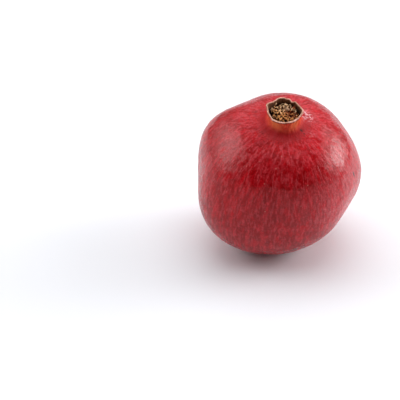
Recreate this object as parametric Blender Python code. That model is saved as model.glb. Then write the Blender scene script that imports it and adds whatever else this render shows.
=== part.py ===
"""A ripe whole pomegranate, resting on a small flat spot with its crown leaning forward.

It is two pieces: the fruit, whose leathery body, crown and clipped stem grew as one, and the tuft of dried
stamens that fills the crown. Metres, +Z up, with the front towards -Y. The origin is at the middle of the
foot of the fruit's bounding box.
"""

import math
import random

import bmesh
import bpy
from mathutils import Euler, Matrix, Vector

MM = 0.001

# The body, measured from its centre in the fruit's own frame, whose +Z runs out through the crown
BODY_RADIUS = 47.4 * MM
SHOULDER_HEIGHT = 45.0 * MM
BASE_DEPTH = 45.6 * MM
BODY_FULLNESS = 2.16
AROUND = 72
BODY_RINGS = 22
BASE_START_RADIUS = 9.5 * MM

# Where the chambers under the rind push it out into blunt ribs, or let it lie flatter between them: azimuth
# and angle from the crown's axis, spread across and along the rib, all in degrees, and rise in millimetres
RIBS = (
    (352, 84, 20, 32, 1.0),
    (24, 68, 20, 32, -1.4),
    (62, 96, 22, 36, 1.4),
    (82, 48, 22, 24, 0.4),
    (90, 104, 16, 34, -0.8),
    (120, 108, 24, 36, 1.4),
    (130, 52, 18, 26, -1.6),
    (155, 66, 20, 34, 3.8),
    (182, 92, 18, 30, -1.0),
    (212, 112, 30, 34, 4.2),
    (272, 38, 34, 20, 1.2),
    (285, 80, 26, 40, -0.6),
    (300, 128, 24, 26, -1.8),
    (318, 66, 14, 34, 1.0),
    (333, 112, 20, 30, -4.2),
)

# Between these angles from the crown's axis the ribs rise out of the round shoulder
RIBS_START = 12
RIBS_FULL = 34

# The hollow round the stem and the clipped stem in it
STEM_HOLLOW_DEPTH = 2.4 * MM
STEM_HOLLOW_RADIUS = 4.8 * MM
STEM_RADIUS = 2.3 * MM
STEM_LENGTH = 2.0 * MM
STEM_CHAMFER = 0.4 * MM
HOLLOW_RING_RADII = (3.2 * MM, 4.6 * MM, 6.2 * MM, 7.8 * MM)

# The crown: the short tube that the flower left, which stands on the shoulder in a tight fillet
NECK_START_RADIUS = 15.5 * MM
WAIST_RADIUS = 9.4 * MM
WAIST_HEIGHT = 47.4 * MM
TUBE_RADIUS = 9.4 * MM
RIM_RADIUS = 9.8 * MM
RIM_HEIGHT = 52.8 * MM
RIM_THICKNESS = 0.9 * MM
RIM_ROUNDING = 0.3 * MM
CUP_FLOOR_HEIGHT = 42.4 * MM
CUP_FLOOR_RADIUS = 7.6 * MM

# The rim's corners, where its teeth broke off, and its one torn notch: azimuth in degrees, and how far the
# rim stands out from its circle and up from its plane there, in millimetres
RIM_CORNERS = (
    (-3, 0.4, 0.6),
    (27, -0.3, 0.1),
    (48, -0.4, 0.3),
    (60, -0.8, -0.5),
    (72, -0.5, 0.4),
    (105, 0.3, 0.8),
    (131, -0.2, 0.3),
    (159, 1.5, 0.8),
    (178, 0.5, 0.2),
    (202, 0.2, 0.0),
    (228, 0.7, 0.2),
    (257, 0.3, 0.2),
    (292, -0.4, -0.1),
    (325, -0.3, 0.2),
)

# The dried stamens, on a disc in the bottom of the crown
GAP = 0.3 * MM
DISC_HEIGHT = 1.6 * MM
DISC_ROUNDING = 0.6 * MM
DISC_SIDES = 24
STAMEN_COUNT = 68
STAMEN_SIDES = 4
STAMEN_ROOTS_FROM = 1.6 * MM
STAMEN_ROOTS_TO = 6.4 * MM
TUFT_RADIUS = 7.3 * MM
STAMEN_TIP_LOW = 49.4 * MM
STAMEN_TIP_HIGH = 52.0 * MM
STAMEN_TIP_FALL = 0.6 * MM
STAMEN_SWAY = 0.7 * MM
STAMEN_TWIST = 0.35
FILAMENT_RADIUS = 0.34 * MM
ANTHER_RADIUS = 0.62 * MM
ANTHER_LENGTH = 1.8 * MM
STYLE_RADIUS = 0.8 * MM
STYLE_SIDES = 6
STYLE_KNOB_HEIGHT = 1.2 * MM
STYLE_TOP = 52.7 * MM
STYLE_BEND = (1.7 * MM, 1.9 * MM)
SEED = 11

# How it rests: the crown leans forward and a little to the right, and the foot is worn to a flat spot
LEAN_FORWARD = 16.0
LEAN_RIGHT = 1.0
FLAT_DEPTH = 1.0 * MM

# The finishes, as linear colour and roughness
RIND_FINISH = ((0.36, 0.02, 0.03), 0.4)
STAMEN_FINISH = ((0.33, 0.17, 0.06), 0.8)
SHARP_ANGLE = math.radians(50)


def blend(start, end, value):
    """A smooth rise from 0 to 1 as the value goes from start to end."""
    t = min(1.0, max(0.0, (value - start) / (end - start)))
    return t * t * (3 - 2 * t)


def curve(points, steps):
    """Points along a cubic Bezier curve, after its first one."""
    a, b, c, d = (Vector(p) for p in points)
    along = []
    for i in range(1, steps + 1):
        t = i / steps
        s = 1 - t
        along.append(a * s**3 + b * 3 * s * s * t + c * 3 * s * t * t + d * t**3)
    return [tuple(p) for p in along]


def on_circle(radius, angle, height):
    """The point at that angle of a level circle round the axis."""
    return Vector((radius * math.cos(angle), radius * math.sin(angle), height))


def stem_outline():
    """The clipped stem, from the middle of its end out to the bottom of the hollow round it."""
    foot = base_height(STEM_RADIUS)
    end = foot - STEM_LENGTH
    chamfer = [(STEM_RADIUS - STEM_CHAMFER, end), (STEM_RADIUS, end + STEM_CHAMFER)]
    return [(0, end)] + chamfer + [(STEM_RADIUS, foot)]


def base_height(radius):
    """The height of the body's underside at this radius, with the stem's hollow in it."""
    drop = BASE_DEPTH * (1 - (radius / BODY_RADIUS) ** BODY_FULLNESS) ** (1 / BODY_FULLNESS)
    return STEM_HOLLOW_DEPTH * math.exp(-((radius / STEM_HOLLOW_RADIUS) ** 2)) - drop


def body_outline():
    """Radius and height along the body, from the wall of the stem's hollow up to where the neck starts."""
    outline = [(radius, base_height(radius)) for radius in HOLLOW_RING_RADII]
    power = 2 / BODY_FULLNESS
    lowest = -math.acos((BASE_START_RADIUS / BODY_RADIUS) ** (1 / power))
    highest = math.acos((NECK_START_RADIUS / BODY_RADIUS) ** (1 / power))
    for i in range(BODY_RINGS + 1):
        t = lowest + (highest - lowest) * i / BODY_RINGS
        radius = BODY_RADIUS * math.cos(t) ** power
        height = abs(math.sin(t)) ** power * SHOULDER_HEIGHT if t > 0 else base_height(radius)
        outline.append((radius, height))
    return outline


def crown_outline(start):
    """The neck, the tube, its rim and the inside of the cup, down to the middle of the floor."""
    radius, height = start
    lower_bend = (radius - 2.6 * MM, height + 0.9 * MM)
    upper_bend = (WAIST_RADIUS + 0.1 * MM, WAIST_HEIGHT - 2.4 * MM)
    neck = curve((start, lower_bend, upper_bend, (WAIST_RADIUS, WAIST_HEIGHT)), 6)
    shoulder = RIM_HEIGHT - RIM_ROUNDING
    inner = RIM_RADIUS - RIM_THICKNESS
    rim = [
        (TUBE_RADIUS, (WAIST_HEIGHT + RIM_HEIGHT) / 2),
        (RIM_RADIUS, shoulder),
        (RIM_RADIUS - RIM_THICKNESS / 2, RIM_HEIGHT),
        (inner, shoulder),
    ]
    upper_bend = (inner - 0.3 * MM, RIM_HEIGHT - 4.0 * MM)
    lower_bend = (CUP_FLOOR_RADIUS + 0.7 * MM, CUP_FLOOR_HEIGHT + 2.0 * MM)
    cup = curve((rim[-1], upper_bend, lower_bend, (CUP_FLOOR_RADIUS, CUP_FLOOR_HEIGHT)), 4)
    return neck + rim + cup + [(0, CUP_FLOOR_HEIGHT)]


def rib_rise(direction):
    """How far the rind stands out from the turned outline in this direction."""
    rise = 0.0
    for azimuth, polar, across, along, height in RIBS:
        a, p = math.radians(azimuth), math.radians(polar)
        middle = Vector((math.sin(p) * math.cos(a), math.sin(p) * math.sin(a), math.cos(p)))
        east = Vector((-math.sin(a), math.cos(a), 0))
        south = east.cross(middle) * -1
        x = math.degrees(math.asin(max(-1.0, min(1.0, direction.dot(east))))) / across
        y = math.degrees(math.atan2(direction.dot(south), direction.dot(middle))) / along
        rise += height * MM * math.exp(-x * x - y * y)
    polar = math.degrees(direction.angle(Vector((0, 0, 1))))
    return rise * blend(RIBS_START, RIBS_FULL, polar)


def rim_corner(azimuth):
    """How far out and up the rim stands at this azimuth, in degrees, from one corner smoothly to the next."""
    first = RIM_CORNERS[0]
    corners = RIM_CORNERS + ((first[0] + 360, *first[1:]),)
    azimuth = (azimuth - first[0]) % 360 + first[0]
    for (start, *near), (end, *far) in zip(corners, corners[1:]):
        if azimuth <= end:
            return Vector(near).lerp(Vector(far), blend(start, end, azimuth)) * MM


def shape_point(point):
    """Moves a point of the turned fruit out to its ribs, or to the corners of its rim."""
    direction = point.normalized()
    moved = point + direction * rib_rise(direction)
    outward = Vector((point.x, point.y, 0)).normalized()
    if outward.length > 0 and point.z > WAIST_HEIGHT:
        out, up = rim_corner(math.degrees(math.atan2(point.y, point.x)))
        weight = blend(WAIST_HEIGHT, RIM_HEIGHT, point.z)
        moved += outward * out * weight
        moved.z += up * weight * weight
    return moved


def turned(outline, sides):
    """A closed mesh: the outline spun round +Z, from one point on the axis to another."""
    mesh = bmesh.new()
    line = [mesh.verts.new((radius, 0, height)) for radius, height in outline]
    edges = [mesh.edges.new(pair) for pair in zip(line, line[1:])]
    turn = dict(cent=(0, 0, 0), axis=(0, 0, 1), angle=math.tau, steps=sides, use_merge=True)
    bmesh.ops.spin(mesh, geom=line + edges, **turn)
    bmesh.ops.remove_doubles(mesh, verts=mesh.verts, dist=0.001 * MM)
    bmesh.ops.recalc_face_normals(mesh, faces=mesh.faces)
    return mesh


def resting_place(points):
    """The matrix from the fruit's own frame to the world, leaning, with its flat spot on the floor."""
    lean = Euler((math.radians(LEAN_FORWARD), math.radians(LEAN_RIGHT), 0)).to_matrix().to_4x4()
    leaned = [lean @ p for p in points]
    low = Vector([min(p[i] for p in leaned) for i in range(3)])
    high = Vector([max(p[i] for p in leaned) for i in range(3)])
    middle = (low + high) / 2
    return Matrix.Translation((-middle.x, -middle.y, -low.z - FLAT_DEPTH)) @ lean


def material(name, finish):
    """A plain opaque material of that colour and roughness."""
    colour, roughness = finish
    made = bpy.data.materials.new(name)
    made.use_nodes = True
    shader = made.node_tree.nodes["Principled BSDF"]
    shader.inputs["Base Color"].default_value = (*colour, 1)
    shader.inputs["Roughness"].default_value = roughness
    shader.inputs["Metallic"].default_value = 0.0
    made.diffuse_color = (*colour, 1)
    return made


def add_object(name, mesh, finish, collection):
    """Puts a bmesh into the collection as a named, smoothly shaded object."""
    data = bpy.data.meshes.new(name)
    mesh.to_mesh(data)
    mesh.free()
    data.materials.append(finish)
    data.shade_smooth()
    data.set_sharp_from_angle(angle=SHARP_ANGLE)
    made = bpy.data.objects.new(name, data)
    collection.objects.link(made)
    return made


def make_fruit():
    """The body, crown and stem as one solid, cut flat where it rests. Returns the matrix that places it."""
    body = body_outline()
    mesh = turned(stem_outline() + body + crown_outline(body[-1]), AROUND)
    for vertex in mesh.verts:
        vertex.co = shape_point(vertex.co)
    place = resting_place([v.co for v in mesh.verts])
    mesh.transform(place)
    everything = mesh.verts[:] + mesh.edges[:] + mesh.faces[:]
    cut = bmesh.ops.bisect_plane(mesh, geom=everything, plane_no=(0, 0, -1), clear_outer=True)
    edges = [e for e in cut["geom_cut"] if isinstance(e, bmesh.types.BMEdge)]
    bmesh.ops.contextual_create(mesh, geom=edges)
    bmesh.ops.recalc_face_normals(mesh, faces=mesh.faces)
    fruit = add_object("fruit", mesh, material("rind", RIND_FINISH), bpy.context.scene.collection)
    foot = min(fruit.data.polygons, key=lambda face: face.center.z)
    foot.use_smooth = False
    return place


def stalk(path, radii, sides):
    """A closed tube with a flat cap at each end, whose radius changes along the path."""
    mesh = bmesh.new()
    rings = []
    for i, (point, radius) in enumerate(zip(path, radii)):
        along = path[min(i + 1, len(path) - 1)] - path[max(i - 1, 0)]
        turn = Vector((0, 0, 1)).rotation_difference(along)
        ring = [point + turn @ on_circle(radius, math.tau * k / sides, 0) for k in range(sides)]
        rings.append([mesh.verts.new(p) for p in ring])
    for lower, upper in zip(rings, rings[1:]):
        for k in range(sides):
            after = (k + 1) % sides
            mesh.faces.new((lower[k], lower[after], upper[after], upper[k]))
    mesh.faces.new(rings[0][::-1])
    mesh.faces.new(rings[-1])
    return mesh


def stamen(number, draw):
    """One dried stamen: a thin filament that bends, with its anther lying across the tip."""
    spread = math.sqrt((number + 0.5) / STAMEN_COUNT)
    azimuth = number * math.pi * (3 - math.sqrt(5))
    root_radius = STAMEN_ROOTS_FROM + (STAMEN_ROOTS_TO - STAMEN_ROOTS_FROM) * spread
    root = on_circle(root_radius, azimuth, CUP_FLOOR_HEIGHT + GAP + DISC_HEIGHT * 0.35)
    tip_height = draw.uniform(STAMEN_TIP_LOW, STAMEN_TIP_HIGH) - STAMEN_TIP_FALL * spread
    tip = on_circle(TUFT_RADIUS * spread, azimuth + draw.uniform(-STAMEN_TWIST, STAMEN_TWIST), tip_height)
    lie = Vector((draw.uniform(-1, 1), draw.uniform(-1, 1), draw.uniform(-0.2, 0.7))).normalized()
    end = tip + lie * ANTHER_LENGTH
    end.xy *= min(1.0, TUFT_RADIUS / end.xy.length)
    sway = Vector((draw.uniform(-1, 1), draw.uniform(-1, 1), 0)) * STAMEN_SWAY
    path = [root, root.lerp(tip, 0.55) + sway, tip, tip.lerp(end, 0.3), tip.lerp(end, 0.75), end]
    radii = [FILAMENT_RADIUS] * 3 + [ANTHER_RADIUS] * 2 + [FILAMENT_RADIUS]
    return stalk(path, radii, STAMEN_SIDES)


def disc():
    """The dried disc that the stamens stand on, just clear of the cup."""
    foot = CUP_FLOOR_HEIGHT + GAP
    reach = CUP_FLOOR_RADIUS - GAP
    top = foot + DISC_HEIGHT
    side = [(reach - DISC_ROUNDING, foot), (reach, (foot + top) / 2), (reach - DISC_ROUNDING, top)]
    return turned([(0, foot)] + side + [(0, top)], DISC_SIDES)


def style():
    """The dry style that stands in the middle and bends a little back, with its knob."""
    foot = CUP_FLOOR_HEIGHT + GAP + DISC_HEIGHT * 0.3
    knob = STYLE_TOP - STYLE_KNOB_HEIGHT
    heights = (foot, (foot + knob) / 2, knob, knob + STYLE_KNOB_HEIGHT / 2, STYLE_TOP)
    bends = (0.0, 0.25, 0.8, 0.9, 1.0)
    widths = (1.0, 0.8, 1.0, 1.7, 1.2)
    path = [Vector((*[reach * bend for reach in STYLE_BEND], h)) for h, bend in zip(heights, bends)]
    return stalk(path, [STYLE_RADIUS * width for width in widths], STYLE_SIDES)


def keep_main_body(data):
    """Drops the scraps, and the walls of the sealed hollows, that joining crossed stalks leaves."""
    mesh = bmesh.new()
    mesh.from_mesh(data)
    main = set()
    unseen = set(mesh.verts)
    while unseen:
        body = set()
        edge = {unseen.pop()}
        while edge:
            body |= edge
            edge = {e.other_vert(v) for v in edge for e in v.link_edges} - body
        unseen -= body
        main = max(main, body, key=len)
    bmesh.ops.delete(mesh, geom=[v for v in mesh.verts if v not in main], context="VERTS")
    mesh.to_mesh(data)
    mesh.free()


def make_stamens(place):
    """The tuft of dried stamens, joined with the disc that they stand on into one solid."""
    finish = material("dry_stamens", STAMEN_FINISH)
    draw = random.Random(SEED)
    loose = bpy.data.collections.new("stamens_to_join")
    bpy.context.scene.collection.children.link(loose)
    for mesh in [style()] + [stamen(i, draw) for i in range(STAMEN_COUNT)]:
        add_object("stamen", mesh, finish, loose)
    tuft = add_object("dried_stamens", disc(), finish, bpy.context.scene.collection)
    join = tuft.modifiers.new("join", "BOOLEAN")
    join.operation = "UNION"
    join.operand_type = "COLLECTION"
    join.collection = loose
    join.solver = "MANIFOLD"
    graph = bpy.context.evaluated_depsgraph_get()
    joined = bpy.data.meshes.new_from_object(tuft.evaluated_get(graph))
    tuft.modifiers.clear()
    tuft.data = joined
    keep_main_body(joined)
    joined.transform(place)
    for piece in list(loose.objects):
        bpy.data.objects.remove(piece)
    bpy.data.collections.remove(loose)


def main():
    """Clears the scene and makes both pieces."""
    for old in list(bpy.data.objects):
        bpy.data.objects.remove(old)
    make_stamens(make_fruit())


main()
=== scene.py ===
import math
import random

import bmesh
import bpy
import numpy as np
from mathutils import Euler, Matrix, Vector, noise


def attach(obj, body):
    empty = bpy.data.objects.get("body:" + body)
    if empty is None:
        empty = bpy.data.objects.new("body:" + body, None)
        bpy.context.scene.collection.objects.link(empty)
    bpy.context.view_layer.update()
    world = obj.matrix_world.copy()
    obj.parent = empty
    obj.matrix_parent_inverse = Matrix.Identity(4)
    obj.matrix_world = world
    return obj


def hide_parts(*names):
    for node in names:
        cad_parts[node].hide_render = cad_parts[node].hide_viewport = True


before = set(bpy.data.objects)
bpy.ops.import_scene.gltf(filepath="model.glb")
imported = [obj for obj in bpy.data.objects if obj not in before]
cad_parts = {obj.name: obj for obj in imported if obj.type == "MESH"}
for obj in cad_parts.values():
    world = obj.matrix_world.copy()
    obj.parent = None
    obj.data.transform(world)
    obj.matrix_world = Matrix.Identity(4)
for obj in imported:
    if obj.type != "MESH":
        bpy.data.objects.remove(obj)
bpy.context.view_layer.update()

MM = 0.001

# The body and the crown, from the fruit's centre in its own frame, whose +Z runs out through the crown
BODY_RADIUS = 47.4 * MM
SHOULDER_HEIGHT = 45.0 * MM
BASE_DEPTH = 45.6 * MM
BODY_FULLNESS = 2.16
BASE_START_RADIUS = 9.5 * MM
NECK_START_RADIUS = 15.5 * MM
WAIST_RADIUS = 9.4 * MM
WAIST_HEIGHT = 47.4 * MM
TUBE_RADIUS = 9.4 * MM
RIM_RADIUS = 9.8 * MM
RIM_HEIGHT = 52.8 * MM
RIM_THICKNESS = 0.9 * MM
CUP_FLOOR_HEIGHT = 42.4 * MM
CUP_FLOOR_RADIUS = 7.6 * MM

# How fine the mesh is: points round each ring, rings along the body, and the radius of the cap at either end
AROUND = 320
BODY_RINGS = 168
CAP_RADIUS = 0.02 * MM

# The blunt ribs: azimuth and angle from the crown's axis, spread across and along, in degrees, and rise in mm
RIBS = (
    (352, 84, 20, 32, 1.0),
    (24, 68, 20, 32, -1.4),
    (62, 96, 22, 36, 1.4),
    (82, 48, 22, 24, 0.4),
    (90, 104, 16, 34, -0.8),
    (120, 108, 24, 36, 1.4),
    (130, 52, 18, 26, -1.6),
    (155, 66, 20, 34, 3.8),
    (182, 92, 18, 30, -1.0),
    (212, 112, 30, 34, 4.2),
    (272, 38, 34, 20, 1.2),
    (285, 80, 26, 40, -0.6),
    (300, 128, 24, 26, -1.8),
    (318, 66, 14, 34, 1.0),
    (333, 112, 20, 30, -4.2),
)

# The angles from the crown's axis between which the ribs, the body's dents and the crown's wrinkles set in
RIBS_START = 12
RIBS_FULL = 34
DENTS_START = 14
DENTS_FULL = 24
WRINKLES_START = 26
WRINKLES_FULL = 16

# The hollow round the stem and the clipped stem in it
STEM_HOLLOW_DEPTH = 2.4 * MM
STEM_HOLLOW_RADIUS = 4.8 * MM
STEM_RADIUS = 2.3 * MM
STEM_LENGTH = 2.0 * MM

# The rim's corners and its torn notch: azimuth in degrees, and how far it stands out and up, in mm
RIM_CORNERS = (
    (-3, 0.4, 0.6),
    (27, -0.3, 0.1),
    (48, -0.4, 0.3),
    (60, -0.8, -0.5),
    (72, -0.5, 0.4),
    (105, 0.3, 0.8),
    (131, -0.2, 0.3),
    (159, 1.5, 0.8),
    (178, 0.5, 0.2),
    (202, 0.2, 0.0),
    (228, 0.7, 0.2),
    (257, 0.3, 0.2),
    (292, -0.4, -0.1),
    (325, -0.3, 0.2),
)

# The relief of the rind: how deep its dents and dimples and the crown's wrinkles and frays are, and how far
# apart. Round the crown, the last is instead about a sixth of how many there are
DENT_DEPTH = 0.3 * MM
DENT_SPACING = 15 * MM
DIMPLE_DEPTH = 0.15 * MM
DIMPLE_SPACING = 4.5 * MM
WRINKLE_DEPTH = 0.28 * MM
WRINKLE_LENGTH = 10 / 3 * MM
WRINKLES_AROUND = 5.0
FRAY_DEPTH = 0.35 * MM
FRAY_AROUND = 9.0

# The wrinkles fade out on the floor of the cup, between these distances from the axis
SMOOTH_RADIUS = 4 * MM
WRINKLED_RADIUS = 8 * MM

# The strokes on the rind run from crown to stem, and are as wide as asked at these distances from the axis
STROKE_RADIUS_NEAR = 19 * MM
STROKE_RADIUS_FAR = 44 * MM

# Where the rind is paler: azimuth and angle from the crown's axis, spread in degrees, and strength. The spots
# at azimuth 195, 312, 332 and 333 are painted highlight and painted reflection on the flanks facing the lamps
# and the bright table; the others are the rind's own pale patches
PALE_PATCHES_AND_HIGHLIGHTS = (
    (312, 78, 20, 0.45),
    (332, 52, 14, 0.25),
    (195, 44, 18, 0.12),
    (20, 22, 12, 0.18),
    (62, 100, 26, 0.35),
    (333, 101, 15, 0.8),
    (135, 80, 18, 0.2),
)

# Corky scars: azimuth and angle from the crown's axis in degrees, and half their width and length in mm
SCARS = (
    (322, 15.0, 0.6, 1.1),
    (320.5, 18, 0.35, 0.6),
    (337.5, 66.5, 0.7, 2.2),
    (75, 62, 0.8, 1.4),
    (118, 98, 1.2, 1.0),
    (172, 70, 0.5, 1.6),
    (255, 112, 0.4, 0.6),
    (40, 120, 1.6, 1.2),
)

# Where the skin is dotted pale: azimuth and angle from the crown's axis, spread in degrees, and strength. The
# strong spot beside the crown, at azimuth 22.5, is painted glints of a lamp on wrinkled skin; the others are
# flaking skin
FLAKES_AND_GLINTS = (
    (22.5, 16.2, 4.1, 2.8),
    (330, 22, 4, 0.12),
    (203, 46, 13, 0.05),
    (110, 66, 7, 0.15),
)

# Where the tube of the crown is golden: azimuth and angle from the axis, spread in degrees, and strength. The
# spots at azimuth 233 and 306, on the flanks that the side lamps light, are partly painted light
GOLDEN_AND_LIT_SPOTS = (
    (233, 12, 4.5, 1.0),
    (306, 12.5, 3.5, 0.9),
    (20, 12, 4, 0.5),
    (80, 11, 6, 0.9),
    (150, 12, 5, 0.8),
)

# The dried stamens, on a disc just clear of the cup
GAP = 0.3 * MM
DISC_HEIGHT = 1.6 * MM
DISC_SIDES = 64
STAMEN_COUNT = 68
STAMEN_ROOTS_FROM = 1.6 * MM
STAMEN_ROOTS_TO = 6.4 * MM
TUFT_RADIUS = 7.3 * MM
STAMEN_TIP_LOW = 49.4 * MM
STAMEN_TIP_HIGH = 52.0 * MM
STAMEN_TIP_FALL = 0.6 * MM
STAMEN_SWAY = 0.7 * MM
STAMEN_TWIST = 0.35
FILAMENT_RADIUS = 0.16 * MM
ANTHER_WIDTH = 0.29 * MM
ANTHER_LENGTH = 1.3 * MM
STYLE_RADIUS = 0.8 * MM
STYLE_TOP = 52.7 * MM
STYLE_BEND = (1.7 * MM, 1.9 * MM)
SEED = 11

# The shorter stamens among them: how many, how far they are turned against the others, how far out they
# reach, and how much lower they may end
EXTRA_STAMENS = 130
EXTRA_TURN = 1.1
EXTRA_RADIUS = 8.1 * MM
EXTRA_DROP = 1.6 * MM

# How it rests: its lean in degrees, and how far the foot is worn flat. The fit scales the visible fruit down
# a little, so that its relief stays inside the box of the solids
LEAN_FORWARD = 16.0
LEAN_RIGHT = 1.0
FLAT_DEPTH = 1.0 * MM
FIT = 0.9978

# The camera of the photograph: a long lens from the front, looking down
LENS = 120
SENSOR = 36
PICTURE = 400
LOOK_DOWN = 33
DISTANCE = 0.783
FRUIT_PIXEL = (279.3, 173.9)

# How bright the room is in front of the fruit, where the camera stands, and behind it, and how bright the
# pale board low in front is. The wax mirrors the board up to a clear line across the fruit. Its top is given
# as the sine of its height over the horizon, and its edge is that soft
ROOM_FRONT = 0.02
ROOM_BACK = 0.3
BOARD = 0.9
BOARD_TOP = 0.09
BOARD_EDGE = 0.02


def colour(code):
    """The linear colour, with alpha, of an sRGB hex code."""
    parts = [int(code[i : i + 2], 16) / 255 for i in (1, 3, 5)]
    return (*[p / 12.92 if p <= 0.04045 else ((p + 0.055) / 1.055) ** 2.4 for p in parts], 1.0)


def blend(start, end, value):
    """A smooth rise from 0 to 1 as the value goes from start to end."""
    t = np.clip((value - start) / (end - start), 0, 1)
    return t * t * (3 - 2 * t)


def curve(points, steps):
    """Points along a cubic Bezier curve, after its first one."""
    a, b, c, d = (np.array(p) for p in points)
    t = np.arange(1, steps + 1)[:, None] / steps
    s = 1 - t
    return [tuple(p) for p in a * s**3 + b * 3 * s * s * t + c * 3 * s * t * t + d * t**3]


def base_height(radius):
    """The height of the body's underside at this radius, with the stem's hollow in it."""
    drop = BASE_DEPTH * (1 - (radius / BODY_RADIUS) ** BODY_FULLNESS) ** (1 / BODY_FULLNESS)
    return STEM_HOLLOW_DEPTH * math.exp(-((radius / STEM_HOLLOW_RADIUS) ** 2)) - drop


def stem_outline():
    """The clipped stem, from the middle of its end out to the wall of the hollow."""
    foot = base_height(STEM_RADIUS)
    end = foot - STEM_LENGTH
    cut = [(share * STEM_RADIUS, end + 0.15 * MM * share) for share in (0, 0.3, 0.6, 0.8)]
    bark = [(0.93, 0.12), (1.0, 0.3), (1.0, 0.6), (0.96, 0.8), (1.0, 0.93), (1.05, 1.0)]
    return cut + [(STEM_RADIUS * wide, end + STEM_LENGTH * along) for wide, along in bark]


def body_outline():
    """Radius and height along the body, from the stem up to where the neck starts."""
    hollow = np.linspace(STEM_RADIUS * 1.25, BASE_START_RADIUS, 14, endpoint=False)
    outline = [(radius, base_height(radius)) for radius in hollow]
    power = 2 / BODY_FULLNESS
    lowest = -math.acos((BASE_START_RADIUS / BODY_RADIUS) ** (1 / power))
    highest = math.acos((NECK_START_RADIUS / BODY_RADIUS) ** (1 / power))
    for t in np.linspace(lowest, highest, BODY_RINGS):
        radius = BODY_RADIUS * math.cos(t) ** power
        height = abs(math.sin(t)) ** power * SHOULDER_HEIGHT if t > 0 else base_height(radius)
        outline.append((radius, height))
    return outline


def neck_outline(start):
    """From the body up the neck and the tube to the top of the rim."""
    radius, height = start
    lower_bend = (radius - 2.6 * MM, height + 0.9 * MM)
    upper_bend = (WAIST_RADIUS + 0.1 * MM, WAIST_HEIGHT - 2.4 * MM)
    neck = curve((start, lower_bend, upper_bend, (WAIST_RADIUS, WAIST_HEIGHT)), 22)
    top = RIM_HEIGHT - 0.3 * MM
    tube_bends = ((TUBE_RADIUS, WAIST_HEIGHT + 2 * MM), (TUBE_RADIUS, top - 1.5 * MM))
    tube = curve((neck[-1], *tube_bends, (RIM_RADIUS, top)), 16)
    edge = (RIM_RADIUS - 0.1 * MM, RIM_HEIGHT - 0.08 * MM)
    return neck + tube + [edge, (RIM_RADIUS - RIM_THICKNESS / 2, RIM_HEIGHT)]


def cup_outline():
    """From the top of the rim down the inside of the cup to the middle of its floor."""
    inner = RIM_RADIUS - RIM_THICKNESS
    lip = [(inner + 0.1 * MM, RIM_HEIGHT - 0.08 * MM), (inner, RIM_HEIGHT - 0.3 * MM)]
    upper_bend = (inner - 0.3 * MM, RIM_HEIGHT - 4.0 * MM)
    lower_bend = (CUP_FLOOR_RADIUS + 0.7 * MM, CUP_FLOOR_HEIGHT + 2.0 * MM)
    wall = curve((lip[-1], upper_bend, lower_bend, (CUP_FLOOR_RADIUS, CUP_FLOOR_HEIGHT)), 26)
    return lip + wall + [(CUP_FLOOR_RADIUS * 0.6, CUP_FLOOR_HEIGHT), (0, CUP_FLOOR_HEIGHT)]


def direction_of(azimuth, polar):
    """The direction at this azimuth and angle from the crown's axis, and those to its east and south."""
    a, p = math.radians(azimuth), math.radians(polar)
    middle = np.array((math.sin(p) * math.cos(a), math.sin(p) * math.sin(a), math.cos(p)))
    east = np.array((-math.sin(a), math.cos(a), 0))
    return middle, east, np.cross(middle, east)


def rib_rise(directions):
    """How far the rind stands out from the turned outline in each direction."""
    swell = np.zeros(len(directions))
    for azimuth, polar, across, along, height in RIBS:
        middle, east, south = direction_of(azimuth, polar)
        x = np.degrees(np.arcsin(np.clip(directions @ east, -1, 1))) / across
        y = np.degrees(np.arctan2(directions @ south, directions @ middle)) / along
        swell += height * MM * np.exp(-x * x - y * y)
    polar = np.degrees(np.arccos(np.clip(directions[:, 2], -1, 1)))
    return swell * blend(RIBS_START, RIBS_FULL, polar)


def rim_corner(azimuths):
    """How far out and up the rim stands at each azimuth, in degrees, smoothly from corner to corner."""
    first = RIM_CORNERS[0]
    corners = RIM_CORNERS + ((first[0] + 360, *first[1:]),)
    azimuths = (azimuths - first[0]) % 360 + first[0]
    moves = np.zeros((len(azimuths), 2))
    for (start, *near), (end, *far) in zip(corners, corners[1:]):
        here = (azimuths >= start) & (azimuths <= end)
        share = blend(start, end, azimuths[here])[:, None]
        moves[here] = (np.array(near) * (1 - share) + np.array(far) * share) * MM
    return moves


def rough(places, octaves, shift):
    """Smooth noise from about -1 to 1 at each place. The shift picks another part of the noise."""
    offset = Vector((shift, -shift, shift))
    return np.array([noise.fractal(Vector(p) + offset, 1.0, 2.0, octaves) for p in places])


def shape_fruit(points, height):
    """Moves the points of the turned fruit out to its ribs and corners, and out and in by its fine relief."""
    directions = points / np.linalg.norm(points, axis=1)[:, None]
    polar = np.degrees(np.arccos(np.clip(directions[:, 2], -1, 1)))
    azimuth = np.arctan2(points[:, 1], points[:, 0])
    from_axis = np.hypot(points[:, 0], points[:, 1])
    outward = points * (1, 1, 0) / np.maximum(from_axis, CAP_RADIUS / 2)[:, None]
    dents = rough(points / DENT_SPACING, 1, 3.1) * DENT_DEPTH
    dimples = rough(points / DIMPLE_SPACING, 3, 8.7) * DIMPLE_DEPTH
    body = blend(DENTS_START, DENTS_FULL, polar)
    moved = points + directions * (rib_rise(directions) + (dents + dimples) * body)[:, None]
    circle = np.stack((np.cos(azimuth), np.sin(azimuth)), axis=1)
    tube = np.column_stack((circle * WRINKLES_AROUND, height / WRINKLE_LENGTH))
    wrinkles = rough(tube, 3, 5.3) * WRINKLE_DEPTH
    crown = blend(WRINKLES_START, WRINKLES_FULL, polar) * blend(SMOOTH_RADIUS, WRINKLED_RADIUS, from_axis)
    moved += outward * (wrinkles * crown)[:, None]
    above = blend(WAIST_HEIGHT, RIM_HEIGHT, height)
    corner = rim_corner(np.degrees(azimuth))
    frays = rough(np.column_stack((circle * FRAY_AROUND, azimuth * 0)), 3, 1.9)
    moved += outward * (corner[:, 0] * above)[:, None]
    moved[:, 2] += (corner[:, 1] - np.maximum(frays, -0.2) * FRAY_DEPTH) * above * above
    return moved


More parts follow.
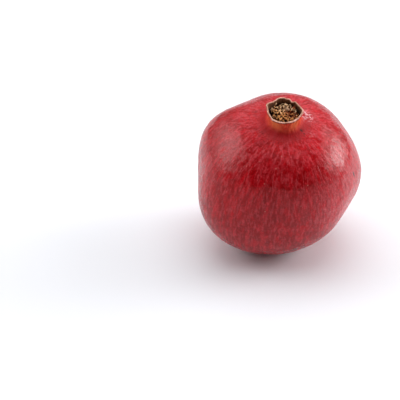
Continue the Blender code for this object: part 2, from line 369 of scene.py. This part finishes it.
def resting_place(points):
    """The matrix from the fruit's own frame to the world, leaning, with its flat spot on the floor."""
    lean = Euler((math.radians(LEAN_FORWARD), math.radians(LEAN_RIGHT), 0)).to_matrix()
    leaned = points @ np.array(lean).T
    low, high = leaned.min(0), leaned.max(0)
    shift = Vector((-(low[0] + high[0]) / 2, -(low[1] + high[1]) / 2, -low[2] - FLAT_DEPTH))
    return Matrix.Scale(FIT, 4) @ Matrix.Translation(shift) @ lean.to_4x4()


def surface(name, points, faces, attributes=()):
    """A smooth mesh of these points and faces, with named values at its points."""
    mesh = bpy.data.meshes.new(name)
    mesh.from_pydata(points.tolist(), [], faces)
    for label, values in dict(attributes).items():
        values = np.asarray(values, float)
        kind, slot = ("FLOAT", "value") if values.ndim == 1 else ("FLOAT_VECTOR", "vector")
        mesh.attributes.new(label, kind, "POINT").data.foreach_set(slot, values.ravel())
    mesh.shade_smooth()
    return mesh


def ring_faces(rings, around):
    """The quads between closed rings of points, one ring after another."""
    faces = []
    for i in range(rings - 1):
        for k in range(around):
            after = (k + 1) % around
            faces.append((i * around + k, i * around + after, (i + 1) * around + after, (i + 1) * around + k))
    return faces


def add_piece(name, mesh, node, materials):
    """Adds a visible piece that stands for a CAD node."""
    for look in materials:
        mesh.materials.append(look)
    piece = bpy.data.objects.new(name, mesh)
    bpy.context.scene.collection.objects.link(piece)
    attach(piece, "root")
    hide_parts(node)
    return piece


def spots_share(directions, spots):
    """How strongly each direction belongs to soft round spots."""
    share = np.zeros(len(directions))
    for azimuth, polar, spread, strength in spots:
        middle = direction_of(azimuth, polar)[0]
        angle = np.degrees(np.arccos(np.clip(directions @ middle, -1, 1)))
        share += strength * np.exp(-((angle / spread) ** 2))
    return share


def scar_distance(points):
    """How far each point is from the nearest scar, which ends at 1. Points far away count as 4."""
    nearest = np.full(len(points), 4.0)
    for azimuth, polar, across, along in SCARS:
        middle, east, south = direction_of(azimuth, polar)
        facing = points @ middle > 0
        x = points @ east / (across * MM)
        y = np.arctan2(points @ south, points @ middle) * np.linalg.norm(points, axis=1) / (along * MM)
        nearest = np.where(facing, np.minimum(nearest, np.hypot(x, y)), nearest)
    return nearest


def make_fruit(rind, lining, bark):
    """The rind with its crown, cut flat where it rests. Returns the matrix that places it."""
    stem = stem_outline()
    body = body_outline()
    outside = stem + body + neck_outline(body[-1])
    outline = np.array(outside + cup_outline())
    outline[[0, -1], 0] = CAP_RADIUS
    rings = len(outline)
    steps = np.hypot(*np.diff(outline, axis=0).T)
    length = np.concatenate(([0], np.cumsum(steps)))
    from_rim = (length[len(outside) - 1] - length) / MM
    angle = np.arange(AROUND) * math.tau / AROUND
    radius = np.repeat(outline[:, 0], AROUND)
    height = np.repeat(outline[:, 1], AROUND)
    azimuth = np.tile(angle, rings)
    points = np.stack((radius * np.cos(azimuth), radius * np.sin(azimuth), height), axis=1)
    shaped = shape_fruit(points, height)
    polar = np.arccos(shaped[:, 2] / np.linalg.norm(shaped, axis=1))
    streaks = np.stack((np.cos(azimuth), np.sin(azimuth), polar), axis=1)
    directions = points / np.linalg.norm(points, axis=1)[:, None]
    faces = ring_faces(rings, AROUND)
    faces.append(tuple(range(AROUND))[::-1])
    faces.append(tuple(range((rings - 1) * AROUND, rings * AROUND)))
    values = {
        "from_rim": np.repeat(from_rim, AROUND),
        "streaks": streaks,
        "pale_and_highlight": spots_share(directions, PALE_PATCHES_AND_HIGHLIGHTS),
        "flakes_and_glints": spots_share(directions, FLAKES_AND_GLINTS),
        "scar": scar_distance(shaped),
        "golden": spots_share(directions, GOLDEN_AND_LIT_SPOTS),
    }
    mesh = surface("pomegranate", shaped, faces, values)
    for face in mesh.polygons:
        ring = min(face.vertices) // AROUND
        face.material_index = 1 if ring >= len(outside) - 1 else 2 if ring < len(stem) - 1 else 0
    place = resting_place(shaped)
    shape = bmesh.new()
    shape.from_mesh(mesh)
    shape.transform(place)
    everything = shape.verts[:] + shape.edges[:] + shape.faces[:]
    cut = bmesh.ops.bisect_plane(shape, geom=everything, plane_no=(0, 0, -1), clear_outer=True)
    edges = [e for e in cut["geom_cut"] if isinstance(e, bmesh.types.BMEdge)]
    bmesh.ops.contextual_create(shape, geom=edges)
    bmesh.ops.recalc_face_normals(shape, faces=shape.faces)
    shape.to_mesh(mesh)
    shape.free()
    add_piece("pomegranate", mesh, "fruit", (rind, lining, bark))
    return place


def stalk(path, widths, sides, lobes=0.0):
    """Points and faces of a closed tube along a path. Lobes gives it a groove along each side."""
    points = []
    for i, (point, width) in enumerate(zip(path, widths)):
        along = path[min(i + 1, len(path) - 1)] - path[max(i - 1, 0)]
        turn = Vector((0, 0, 1)).rotation_difference(along)
        for k in range(sides):
            angle = math.tau * k / sides
            reach = width * (1 + lobes * math.cos(2 * angle))
            points.append(point + turn @ Vector((reach * math.cos(angle), reach * math.sin(angle), 0)))
    faces = ring_faces(len(path), sides)
    faces.append(tuple(range(sides))[::-1])
    faces.append(tuple(range((len(path) - 1) * sides, len(path) * sides)))
    return points, faces


def stamen(number, draw, count, twist, wide, low, high):
    """One dried stamen: a thin filament that bends, and its anther lying across the tip."""
    spread = math.sqrt((number + 0.5) / count)
    golden_angle = math.pi * (3 - math.sqrt(5))
    azimuth = number * golden_angle + twist
    root_radius = STAMEN_ROOTS_FROM + (STAMEN_ROOTS_TO - STAMEN_ROOTS_FROM) * spread
    floor = CUP_FLOOR_HEIGHT + GAP + DISC_HEIGHT * 0.35
    root = Vector((root_radius * math.cos(azimuth), root_radius * math.sin(azimuth), floor))
    tip_height = draw.uniform(low, high) - STAMEN_TIP_FALL * spread
    turned = azimuth + draw.uniform(-STAMEN_TWIST, STAMEN_TWIST)
    reach = wide * spread
    tip = Vector((reach * math.cos(turned), reach * math.sin(turned), tip_height))
    lie = Vector((draw.uniform(-1, 1), draw.uniform(-1, 1), draw.uniform(-0.2, 0.7))).normalized()
    end = tip + lie * ANTHER_LENGTH
    end.xy *= min(1.0, wide / end.xy.length)
    sway = Vector((draw.uniform(-1, 1), draw.uniform(-1, 1), 0)) * STAMEN_SWAY
    bend = root.lerp(tip, 0.55) + sway
    filament = [tuple(root)] + curve((root, root.lerp(bend, 0.7), bend.lerp(tip, 0.6), tip), 8)
    back = tip - (end - tip) * 0.25
    arch = Vector((0, 0, 0.3 * MM))
    shares = (0, 0.1, 0.3, 0.5, 0.7, 0.9, 1)
    anther = [back.lerp(end, share) + arch * math.sin(math.pi * share) for share in shares]
    widths = [ANTHER_WIDTH * width for width in (0.35, 0.8, 1.0, 0.9, 1.0, 0.75, 0.3)]
    thread = stalk([Vector(p) for p in filament], [FILAMENT_RADIUS] * len(filament), 6)
    return thread, stalk(anther, widths, 10, lobes=0.28)


def style():
    """The old style in the middle of the tuft: a bent stalk with a knob. Points and faces."""
    foot = CUP_FLOOR_HEIGHT + GAP + DISC_HEIGHT * 0.3
    path = []
    for share in (0, 0.2, 0.4, 0.6, 0.8, 0.87, 0.91, 0.96, 0.99, 1.0):
        bend = share**2.4
        path.append(Vector((STYLE_BEND[0] * bend, STYLE_BEND[1] * bend, foot + (STYLE_TOP - foot) * share)))
    widths = [STYLE_RADIUS * width for width in (1.0, 0.8, 0.75, 0.75, 0.85, 1.0, 1.5, 1.65, 1.3, 0.6)]
    return stalk(path, widths, 14)


def make_stamens(place, look):
    """The tuft of dried stamens with the style in its middle. Each part's tint picks its colour."""
    draw = random.Random(SEED)
    tall = (STAMEN_COUNT, 0.0, TUFT_RADIUS, STAMEN_TIP_LOW, STAMEN_TIP_HIGH)
    short = (EXTRA_STAMENS, EXTRA_TURN, EXTRA_RADIUS, STAMEN_TIP_LOW - EXTRA_DROP, STAMEN_TIP_HIGH)
    parts = []
    for kind in (tall, short):
        for number in range(kind[0]):
            thread, anther = stamen(number, draw, *kind)
            tint = (number * 0.618) % 1
            parts += [(*thread, tint * 0.4), (*anther, 0.5 + tint * 0.45)]
    parts.append((*style(), 1.0))
    points, faces, tints = [], [], []
    for part_points, part_faces, tint in parts:
        faces += [tuple(index + len(points) for index in face) for face in part_faces]
        points += part_points
        tints += [tint] * len(part_points)
    mesh = surface("stamen_tuft", np.array([tuple(p) for p in points]), faces, {"tint": tints})
    mesh.transform(place)
    add_piece("stamen_tuft", mesh, "dried_stamens", (look,))


def make_disc(place, look):
    """The dried disc that the stamens stand on, with its edge rounded."""
    foot = CUP_FLOOR_HEIGHT + GAP
    reach = CUP_FLOOR_RADIUS - GAP - 0.1 * MM
    under = [(0.01, 0.05), (0.85, 0.05), (0.97, 0.3), (1.0, 0.55)]
    outline = under + [(0.93, 0.85), (0.7, 0.98), (0.3, 1.0), (0.01, 1.0)]
    points = []
    for share, lift in outline:
        for k in range(DISC_SIDES):
            angle = math.tau * k / DISC_SIDES
            x, y = share * reach * math.cos(angle), share * reach * math.sin(angle)
            points.append((x, y, foot + lift * DISC_HEIGHT))
    mesh = surface("stamen_disc", np.array(points), ring_faces(len(outline), DISC_SIDES))
    mesh.transform(place)
    add_piece("stamen_disc", mesh, "dried_stamens", (look,))


def add_node(tree, kind, inputs=(), **settings):
    """Adds a node with its settings, and sets or links its inputs."""
    made = tree.nodes.new(kind)
    for label, value in settings.items():
        setattr(made, label, value)
    for socket, value in dict(inputs).items():
        if isinstance(value, bpy.types.NodeSocket):
            tree.links.new(value, made.inputs[socket])
        else:
            made.inputs[socket].default_value = value
    return made


def new_material(name):
    """A material with only its shader in it. Returns it, its tree and the shader."""
    made = bpy.data.materials.new(name)
    made.use_nodes = True
    return made, made.node_tree, made.node_tree.nodes["Principled BSDF"]


def attribute(tree, name, output="Fac"):
    """A named value of the mesh."""
    return add_node(tree, "ShaderNodeAttribute", attribute_name=name).outputs[output]


def rise(tree, value, start, end, low=0.0, high=1.0):
    """A smooth change from low to high as the value goes from start to end."""
    limits = {"Value": value, "From Min": start, "From Max": end, "To Min": low, "To Max": high}
    return add_node(tree, "ShaderNodeMapRange", limits, interpolation_type="SMOOTHSTEP").outputs[0]


def noise_mask(tree, place, size, low, high, detail=3.0):
    """0 to 1 over a noise whose blotches are of that size, in metres, from its low to its high value."""
    settings = {"Vector": place, "Scale": 1 / size, "Detail": detail, "Roughness": 0.55}
    return rise(tree, add_node(tree, "ShaderNodeTexNoise", settings).outputs["Fac"], low, high)


def mixed(tree, mask, under, over):
    """The colour under a mask, and the one over it."""
    return add_node(tree, "ShaderNodeMix", {0: mask, 6: under, 7: over}, data_type="RGBA").outputs[2]


def product(tree, first, second):
    """Two masks multiplied."""
    return add_node(tree, "ShaderNodeMath", {0: first, 1: second}, operation="MULTIPLY").outputs[0]


def scaled(tree, value, factor, added):
    """A value times a factor, with another value added."""
    terms = {0: value, 1: factor, 2: added}
    return add_node(tree, "ShaderNodeMath", terms, operation="MULTIPLY_ADD").outputs[0]


def stroke_mask(tree, wide, long, low, high):
    """0 to 1 over strokes about that wide and long, in metres, which all run from crown to stem."""
    streaks = attribute(tree, "streaks", "Vector")
    masks = []
    for radius in (STROKE_RADIUS_FAR, STROKE_RADIUS_NEAR):
        stretch = (radius / wide, radius / wide, BODY_RADIUS / long)
        at = add_node(tree, "ShaderNodeVectorMath", {0: streaks, 1: stretch}, operation="MULTIPLY").outputs[0]
        masks.append(noise_mask(tree, at, 1.0, low, high, detail=2.0))
    near = rise(tree, attribute(tree, "from_rim"), 38, 22)
    return add_node(tree, "ShaderNodeMix", {0: near, 2: masks[0], 3: masks[1]}, data_type="FLOAT").outputs[0]


def skin_colour(tree, place, from_rim, stroke):
    """The red of the body, from its broad patches up to the strokes, the blotches and the grain."""
    shade = mixed(tree, noise_mask(tree, place, 20 * MM, 0.38, 0.62), colour("#B00006"), colour("#CC000E"))
    patch = noise_mask(tree, place, 6 * MM, 0.45, 0.65)
    shade = mixed(tree, product(tree, patch, 0.65), shade, colour("#8A0004"))
    # Painted shade: the body is darker below the shoulders, and darker again on the underside, for light
    # falling from above and behind
    shade = mixed(tree, rise(tree, from_rim, 18, 34, 0.0, 0.8), shade, colour("#920004"))
    shade = mixed(tree, rise(tree, from_rim, 58, 86, 0.0, 0.5), shade, colour("#700004"))
    # Painted highlight and painted reflection: the flanks facing the lamps and the table are painted paler,
    # beside the rind's own pale patches
    shade = mixed(tree, attribute(tree, "pale_and_highlight"), shade, colour("#E67A80"))
    dark = stroke_mask(tree, 1.3 * MM, 4.5 * MM, 0.48, 0.64)
    shade = mixed(tree, product(tree, dark, 0.5), shade, colour("#780006"))
    band = stroke_mask(tree, 2.6 * MM, 9.0 * MM, 0.48, 0.62)
    shade = mixed(tree, product(tree, band, 0.62), shade, colour("#CA101C"))
    fade = product(tree, rise(tree, from_rim, 8, 18), rise(tree, from_rim, 42, 24, 0.3, 0.55))
    shade = mixed(tree, product(tree, stroke, fade), shade, colour("#E2565E"))
    mottle = noise_mask(tree, place, 1.6 * MM, 0.5, 0.6)
    shade = mixed(tree, product(tree, mottle, 0.3), shade, colour("#D4303A"))
    blotch = noise_mask(tree, place, 4.0 * MM, 0.48, 0.66)
    upper = rise(tree, from_rim, 42, 24, 0.12, 0.35)
    shade = mixed(tree, product(tree, blotch, upper), shade, colour("#D8404A"))
    grain = noise_mask(tree, place, 0.9 * MM, 0.42, 0.6, detail=1.0)
    shade = mixed(tree, product(tree, grain, 0.4), shade, colour("#860008"))
    shoulder = product(tree, rise(tree, from_rim, 8, 12), rise(tree, from_rim, 34, 20))
    bloom = product(tree, shoulder, noise_mask(tree, place, 2.6 * MM, 0.45, 0.65))
    return mixed(tree, product(tree, bloom, 0.3), shade, colour("#D0404E"))


def marked_colour(tree, place, from_rim, shade):
    """The corky specks, the flaking skin with painted glints beside the crown, and the deeper red where the
    neck starts, which is painted shade in the crease.
    """
    cells = add_node(tree, "ShaderNodeTexVoronoi", {"Vector": place, "Scale": 1 / (4.2 * MM)})
    chosen = rise(tree, cells.outputs["Color"], 0.66, 0.70)
    speck = product(tree, chosen, rise(tree, cells.outputs["Distance"], 0.10, 0.05))
    shade = mixed(tree, product(tree, speck, 0.7), shade, colour("#D08074"))
    # Painted glints: pale dots where a lamp is mirrored on the wrinkled skin beside the crown; flaking skin
    # elsewhere
    glint_and_flake_dots = noise_mask(tree, place, 1.3 * MM, 0.48, 0.56, detail=2.0)
    shade = mixed(tree, product(tree, attribute(tree, "flakes_and_glints"), glint_and_flake_dots), shade, colour("#F8C0C6"))
    # Painted shade: deeper red in the crease where the neck meets the body
    return mixed(tree, rise(tree, from_rim, 15, 10, 0.0, 0.6), shade, colour("#A40008"))


def crown_colour(tree, place, from_rim, edge, shade):
    """The orange tube of the crown, with its golden patches, partly painted light on its lit flanks, and its
    torn rim. The edge makes them ragged.
    """
    tube = mixed(tree, noise_mask(tree, place, 2.5 * MM, 0.4, 0.62), colour("#C42A1C"), colour("#D8442C"))
    # Partly painted light: the golden spots on the tube's lit left and right flanks, stronger towards the rim
    golden = product(tree, attribute(tree, "golden"), rise(tree, from_rim, 8.0, 3.5, 0.2, 0.85))
    tube = mixed(tree, golden, tube, colour("#E87C48"))
    shade = mixed(tree, rise(tree, from_rim, 9.5, 5.5), shade, tube)
    torn = scaled(tree, edge, 1.6, from_rim)
    shade = mixed(tree, rise(tree, torn, 2.9, 1.9), shade, colour("#8E2414"))
    rim = mixed(tree, noise_mask(tree, place, 3 * MM, 0.4, 0.6), colour("#A86E54"), colour("#F4C0B0"))
    return mixed(tree, rise(tree, torn, 1.8, 1.3), shade, rim)


def make_rind():
    """Pomegranate rind: living skin that has dried to a thin leather under its own wax. It gives the eye a
    deep, uneven red with a satin gloss, pale strokes where the skin stretched as it grew, corky specks and
    small scars."""
    made, tree, shader = new_material("rind")
    place = add_node(tree, "ShaderNodeTexCoord").outputs["Object"]
    from_rim = attribute(tree, "from_rim")
    stroke = stroke_mask(tree, 1.1 * MM, 4.5 * MM, 0.5, 0.61)
    edge = add_node(tree, "ShaderNodeTexNoise", {"Vector": place, "Scale": 1 / (0.9 * MM)}).outputs["Fac"]
    shade = skin_colour(tree, place, from_rim, stroke)
    shade = marked_colour(tree, place, from_rim, shade)
    shade = crown_colour(tree, place, from_rim, edge, shade)
    away = scaled(tree, edge, 1.4, attribute(tree, "scar"))
    shade = mixed(tree, rise(tree, away, 2.0, 1.4, 0.0, 0.9), shade, colour("#300804"))
    tree.links.new(shade, shader.inputs["Base Color"])
    skin = scaled(tree, noise_mask(tree, place, 2.5 * MM, 0.3, 0.7), 0.10, 0.10)
    worn = scaled(tree, rise(tree, from_rim, 16, 9), 0.5, skin)
    facing = add_node(tree, "ShaderNodeLayerWeight", {"Blend": 0.5}).outputs["Facing"]
    tree.links.new(scaled(tree, rise(tree, facing, 0.7, 1.0), 0.25, worn), shader.inputs["Roughness"])
    texture = {"Vector": place, "Scale": 1 / (1.3 * MM), "Detail": 3.0}
    pores = add_node(tree, "ShaderNodeTexNoise", texture).outputs["Fac"]
    height = scaled(tree, stroke, 0.6, pores)
    bump = add_node(tree, "ShaderNodeBump", {"Height": height, "Strength": 0.8, "Distance": 0.1 * MM})
    tree.links.new(bump.outputs[0], shader.inputs["Normal"])
    shader.inputs["IOR"].default_value = 1.31
    return made


def make_lining():
    """The dry inside of the crown: skin that shrivelled to a brown papery crust, pale where its edge tore."""
    made, tree, shader = new_material("crown_lining")
    place = add_node(tree, "ShaderNodeTexCoord").outputs["Object"]
    from_rim = attribute(tree, "from_rim")
    shade = mixed(tree, noise_mask(tree, place, 1.5 * MM, 0.35, 0.65), colour("#54301C"), colour("#30160C"))
    # Painted shade: the wall is lighter near the rim and darker down in the cup
    shade = mixed(tree, rise(tree, from_rim, -4.4, -0.7), shade, colour("#7A4A2A"))
    shade = mixed(tree, rise(tree, from_rim, -0.7, -0.3), shade, colour("#DCA48C"))
    tree.links.new(shade, shader.inputs["Base Color"])
    shader.inputs["Roughness"].default_value = 0.75
    return made


def make_bark():
    """The clipped stem: brown bark round pale wood, cut by shears and dried, so it is matt and fibrous."""
    made, tree, shader = new_material("stem_bark")
    place = add_node(tree, "ShaderNodeTexCoord").outputs["Object"]
    shade = mixed(tree, noise_mask(tree, place, 0.6 * MM, 0.35, 0.65), colour("#6A4A30"), colour("#8E7050"))
    tree.links.new(shade, shader.inputs["Base Color"])
    shader.inputs["Roughness"].default_value = 0.85
    return made


def make_stamen_look():
    """Dried stamens: papery husks of anthers on brown threads, golden to pinkish tan, with no gloss. The
    palest, cream anthers are painted highlights.
    """
    made, tree, shader = new_material("dry_stamens")
    place = add_node(tree, "ShaderNodeTexCoord").outputs["Object"]
    tint = attribute(tree, "tint")
    husk = mixed(tree, rise(tree, tint, 0.5, 0.68), colour("#A84420"), colour("#FAB066"))
    # Painted highlights: the palest anthers are cream
    husk = mixed(tree, rise(tree, tint, 0.7, 0.88), husk, colour("#FFD6A6"))
    shade = mixed(tree, rise(tree, tint, 0.3, 0.5), colour("#4E1408"), husk)
    shade = mixed(tree, rise(tree, tint, 0.96, 0.99), shade, colour("#A88868"))
    shade = mixed(tree, noise_mask(tree, place, 0.5 * MM, 0.52, 0.66), shade, colour("#8A4018"))
    tree.links.new(shade, shader.inputs["Base Color"])
    shader.inputs["Roughness"].default_value = 0.7
    return made


def make_disc_look():
    """The dried disc under the stamens: a rough dark crust."""
    made, tree, shader = new_material("dry_disc")
    place = add_node(tree, "ShaderNodeTexCoord").outputs["Object"]
    shade = mixed(tree, noise_mask(tree, place, 0.8 * MM, 0.4, 0.6), colour("#200A04"), colour("#3A180C"))
    tree.links.new(shade, shader.inputs["Base Color"])
    shader.inputs["Roughness"].default_value = 0.9
    return made


def make_floor():
    """The pale table top."""
    made, tree, shader = new_material("white_table")
    shader.inputs["Base Color"].default_value = colour("#F8FAFF")
    shader.inputs["Roughness"].default_value = 0.6
    mesh = bpy.data.meshes.new("floor")
    reach = 4.0
    corners = [(-reach, -reach, 0), (reach, -reach, 0), (reach, reach, 0), (-reach, reach, 0)]
    mesh.from_pydata(corners, [], [(0, 1, 2, 3)])
    mesh.materials.append(made)
    floor = bpy.data.objects.new("floor", mesh)
    bpy.context.scene.collection.objects.link(floor)


def add_softbox(name, direction, distance, size, radiance, shines=True):
    """A soft round lamp in that direction from the fruit's middle, as bright as that over its whole face.
    One that doesn't shine lights the fruit but isn't mirrored in its wax."""
    lamp = bpy.data.lights.new(name, "AREA")
    lamp.shape = "ELLIPSE"
    lamp.size, lamp.size_y = size
    area = math.pi / 4 * size[0] * size[1]
    lamp.energy = radiance * math.pi * area
    made = bpy.data.objects.new(name, lamp)
    bpy.context.scene.collection.objects.link(made)
    towards = Vector(direction).normalized()
    made.location = Vector((0, 0, 45 * MM)) + towards * distance
    made.rotation_euler = towards.to_track_quat("Z", "Y").to_euler()
    made.visible_glossy = shines


def make_lights():
    """The softboxes, the dim room round them and the pale board low in front."""
    add_softbox("left_softbox", (-0.86, 0.15, 0.49), 1.1, (0.72, 0.66), 2.4)
    add_softbox("left_halo", (-0.86, 0.24, 0.46), 1.12, (1.3, 1.1), 1.1)
    add_softbox("right_softbox", (0.92, 0.21, 0.33), 1.0, (0.50, 0.48), 7.4)
    add_softbox("right_halo", (0.86, 0.16, 0.40), 1.02, (1.1, 0.84), 2.3)
    add_softbox("back_softbox", (0.05, 0.60, 0.80), 1.6, (2.6, 1.8), 0.6)
    add_softbox("front_softbox", (0.0, -0.20, 0.98), 1.6, (2.0, 1.0), 0.45)
    add_softbox("overhead_fill", (0.0, 0.14, 0.98), 1.6, (2.0, 2.0), 1.3, shines=False)
    world = bpy.data.worlds.new("room")
    world.use_nodes = True
    tree = world.node_tree
    direction = add_node(tree, "ShaderNodeTexCoord").outputs["Generated"]
    towards = add_node(tree, "ShaderNodeSeparateXYZ", {"Vector": direction}).outputs
    room = rise(tree, towards["Y"], -0.1, 0.6, ROOM_FRONT, ROOM_BACK)
    front = rise(tree, towards["Y"], -0.1, -0.4, 0.0, BOARD)
    board = product(tree, front, rise(tree, towards["Z"], BOARD_TOP + BOARD_EDGE, BOARD_TOP))
    bright = add_node(tree, "ShaderNodeMath", {0: room, 1: board}, operation="MAXIMUM").outputs[0]
    tree.links.new(bright, tree.nodes["Background"].inputs["Strength"])
    tree.nodes["Background"].inputs["Color"].default_value = (1, 1, 1, 1)
    bpy.context.scene.world = world
    bpy.context.scene.view_settings.view_transform = "Standard"


def make_camera(place):
    """The camera of the photograph, aimed so that the fruit's centre falls on its pixel."""
    lens = bpy.data.cameras.new("camera")
    lens.lens = LENS
    lens.sensor_width = SENSOR
    camera = bpy.data.objects.new("camera", lens)
    bpy.context.scene.collection.objects.link(camera)
    camera.rotation_euler = (math.radians(90 - LOOK_DOWN), 0, 0)
    turn = camera.rotation_euler.to_matrix()
    pixel = DISTANCE * SENSOR / LENS / PICTURE
    right = (FRUIT_PIXEL[0] - PICTURE / 2) * pixel
    up = (PICTURE / 2 - FRUIT_PIXEL[1]) * pixel
    camera.location = place.translation - turn @ Vector((right, up, -DISTANCE))
    bpy.context.scene.camera = camera


place = make_fruit(make_rind(), make_lining(), make_bark())
make_stamens(place, make_stamen_look())
make_disc(place, make_disc_look())
make_floor()
make_lights()
make_camera(place)
